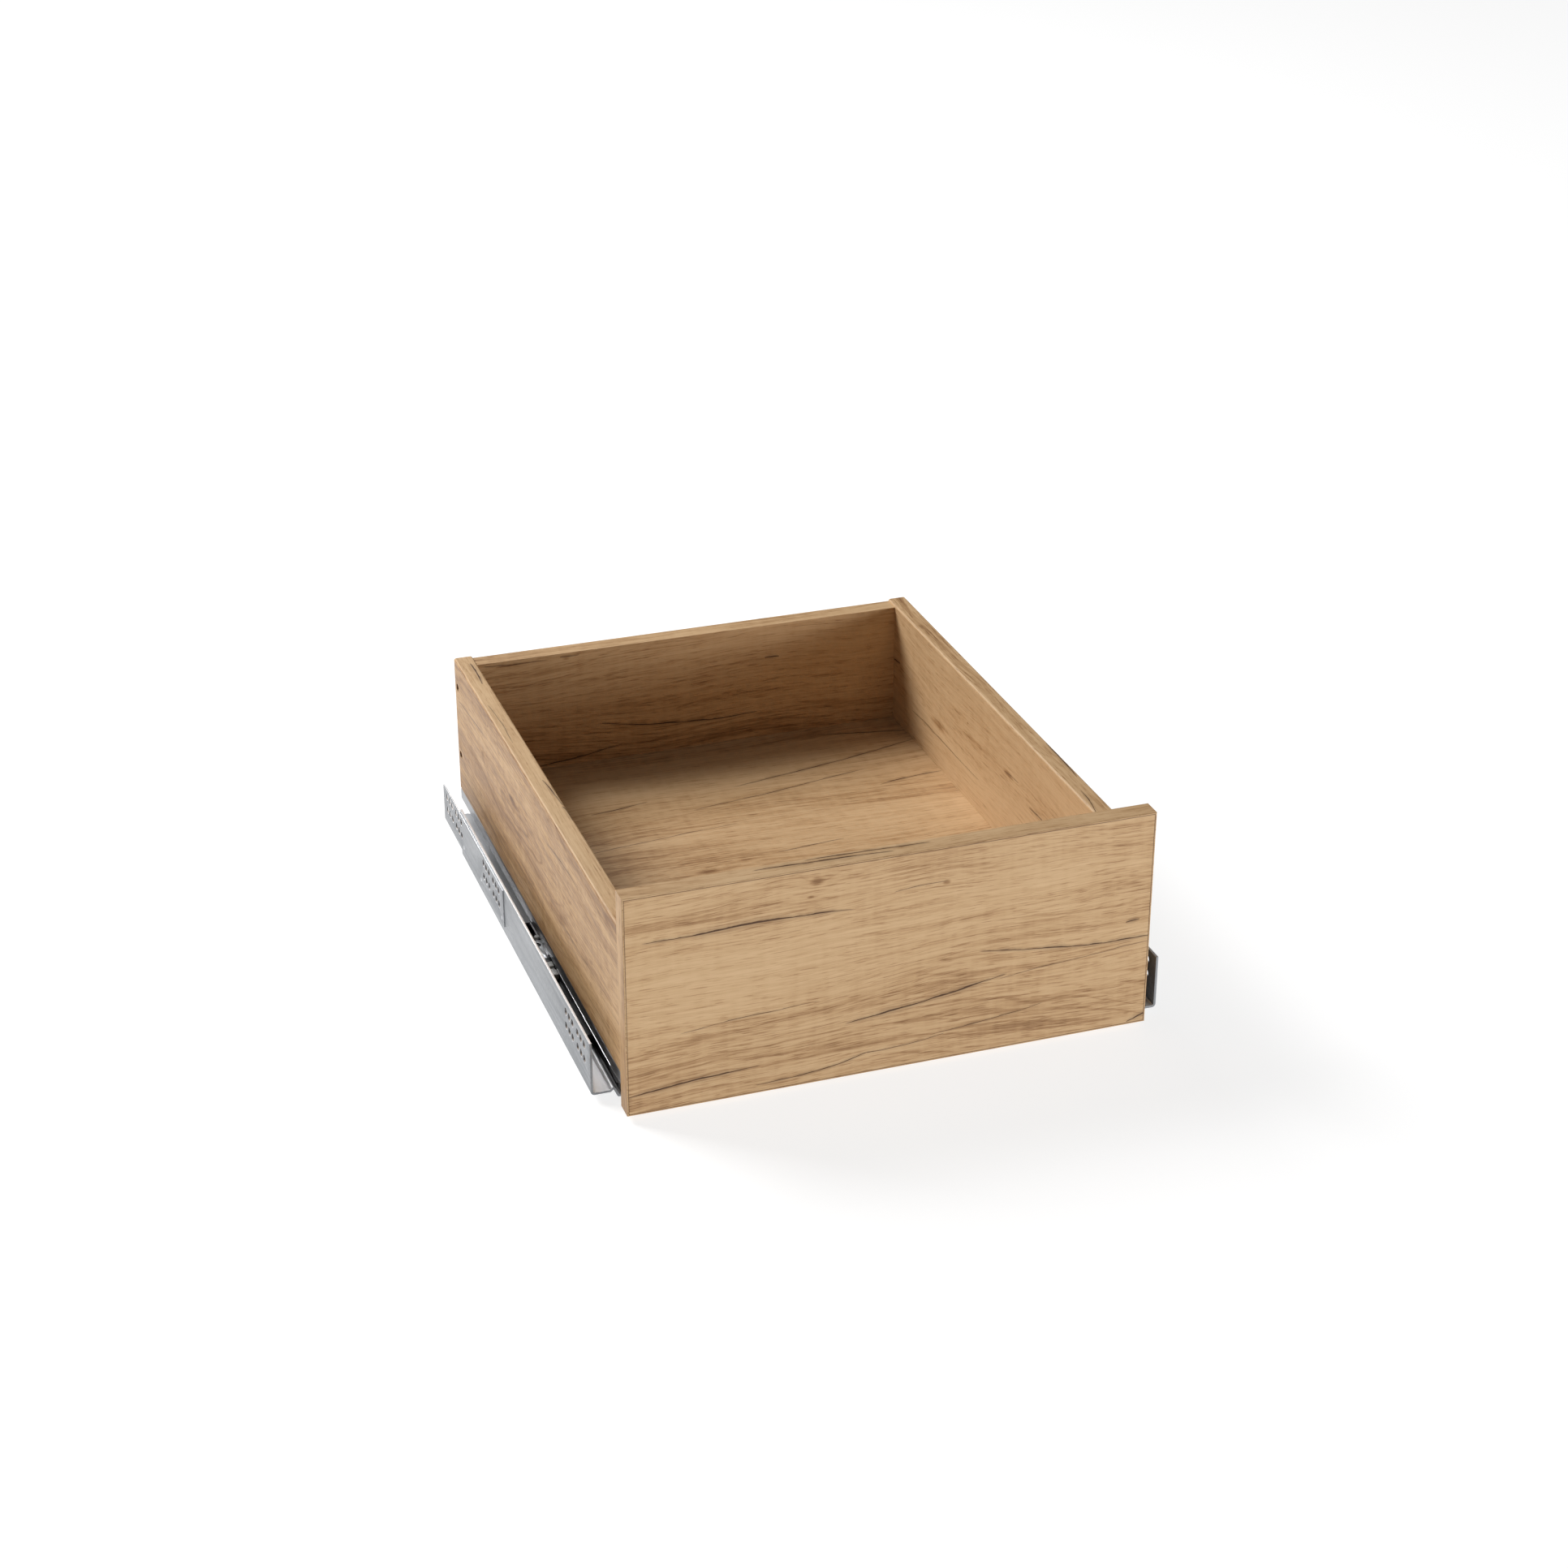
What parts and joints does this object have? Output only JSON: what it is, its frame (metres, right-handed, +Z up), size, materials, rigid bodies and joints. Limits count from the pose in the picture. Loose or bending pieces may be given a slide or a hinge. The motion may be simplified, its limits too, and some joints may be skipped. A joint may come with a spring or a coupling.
{
  "type": "under desk drawer",
  "caption": "Wooden drawer box with a plain front, riding on concealed ball runners whose flanges screw to the sides of a desk pedestal, with soft closing.",
  "frame": {"origin": "middle of the underside of the bounding box: the middle plane of the drawer, half way from the front face to the back end, at the underside of the ball channels", "axes": "+X to the right seen from the front, +Y from the front face to the back, +Z up; the drawer opens along -Y"},
  "size_m": [0.4526, 0.516, 0.1862],
  "materials": {
    "oak_board": "oak grain laminate, satin",
    "oak_edge": "oak grain edge band, satin",
    "beech": "fluted beech, raw",
    "zinc_steel": "zinc plated, satin",
    "bright_steel": "polished",
    "dark_steel": "black passivated",
    "zinc_casting": "die cast, matt",
    "black_plastic": "moulded, satin",
    "white_plastic": "moulded, satin",
    "rubber": "matt"
  },
  "bodies": {
    "cabinet_rails": {"left_cabinet_rail": "zinc_steel", "left_rear_bracket": "zinc_steel", "left_soft_close_housing": "black_plastic", "left_damper_cylinder": "bright_steel", "left_soft_close_spring": "bright_steel", "left_damper_rod": "bright_steel", "left_rod_collar": "white_plastic", "left_anchor_tongue": "zinc_steel", "left_closing_buffer": "rubber", "left_bracket_rivets": "zinc_steel", "right_cabinet_rail": "zinc_steel", "right_rear_bracket": "zinc_steel", "right_soft_close_housing": "black_plastic", "right_damper_cylinder": "bright_steel", "right_soft_close_spring": "bright_steel", "right_damper_rod": "bright_steel", "right_rod_collar": "white_plastic", "right_anchor_tongue": "zinc_steel", "right_closing_buffer": "rubber", "right_bracket_rivets": "zinc_steel"},
    "drawer": {"back_panel": "oak_board", "bottom_dowels": "beech", "bottom_panel": "oak_board", "cam_bolts": "dark_steel", "cam_housings": "zinc_casting", "connecting_screws": "dark_steel", "corner_dowels": "beech", "front_edge_bands": "oak_edge", "front_panel": "oak_board", "left_activator": "zinc_steel", "left_drawer_profile": "zinc_steel", "left_front_coupling": "black_plastic", "left_lever_pin": "dark_steel", "left_profile_screws": "dark_steel", "left_rear_hook": "zinc_steel", "left_side_panel": "oak_board", "right_activator": "zinc_steel", "right_drawer_profile": "zinc_steel", "right_front_coupling": "black_plastic", "right_lever_pin": "dark_steel", "right_profile_screws": "dark_steel", "right_rear_hook": "zinc_steel", "right_side_panel": "oak_board"},
    "left_cage": {"left_ball_cage": "black_plastic", "left_ball_set": "bright_steel"},
    "left_slider": {"left_soft_close_slider": "white_plastic"},
    "left_lever": {"left_release_lever": "black_plastic"},
    "right_cage": {"right_ball_cage": "black_plastic", "right_ball_set": "bright_steel"},
    "right_slider": {"right_soft_close_slider": "white_plastic"},
    "right_lever": {"right_release_lever": "black_plastic"}
  },
  "joints": [
    {"name": "drawer_slide", "type": "slide", "parent": "cabinet_rails", "child": "drawer", "axis": [0, -1, 0], "range_m": [0, 0.357]},
    {"name": "left_cage_slide", "type": "slide", "parent": "cabinet_rails", "child": "left_cage", "axis": [0, -1, 0], "range_m": [0, 0.1785]},
    {"name": "left_soft_close_travel", "type": "slide", "parent": "cabinet_rails", "child": "left_slider", "axis": [0, -1, 0], "range_m": [0, 0.045], "stiffness_N_per_m": 60},
    {"name": "left_lever_hinge", "type": "hinge", "parent": "drawer", "child": "left_lever", "pos_m": [-0.2054, -0.2095, 0.0164], "axis": [0, 0, -1], "range_deg": [0, 18], "stiffness_Nm_per_rad": 0.05},
    {"name": "right_cage_slide", "type": "slide", "parent": "cabinet_rails", "child": "right_cage", "axis": [0, -1, 0], "range_m": [0, 0.1785]},
    {"name": "right_soft_close_travel", "type": "slide", "parent": "cabinet_rails", "child": "right_slider", "axis": [0, -1, 0], "range_m": [0, 0.045], "stiffness_N_per_m": 60},
    {"name": "right_lever_hinge", "type": "hinge", "parent": "drawer", "child": "right_lever", "pos_m": [0.2054, -0.2095, 0.0164], "axis": [0, 0, 1], "range_deg": [0, 18], "stiffness_Nm_per_rad": 0.05}
  ],
  "couplings": [
    {"joint": "left_cage_slide", "follows": "drawer_slide", "ratio": 0.5},
    {"joint": "right_cage_slide", "follows": "drawer_slide", "ratio": 0.5}
  ]
}
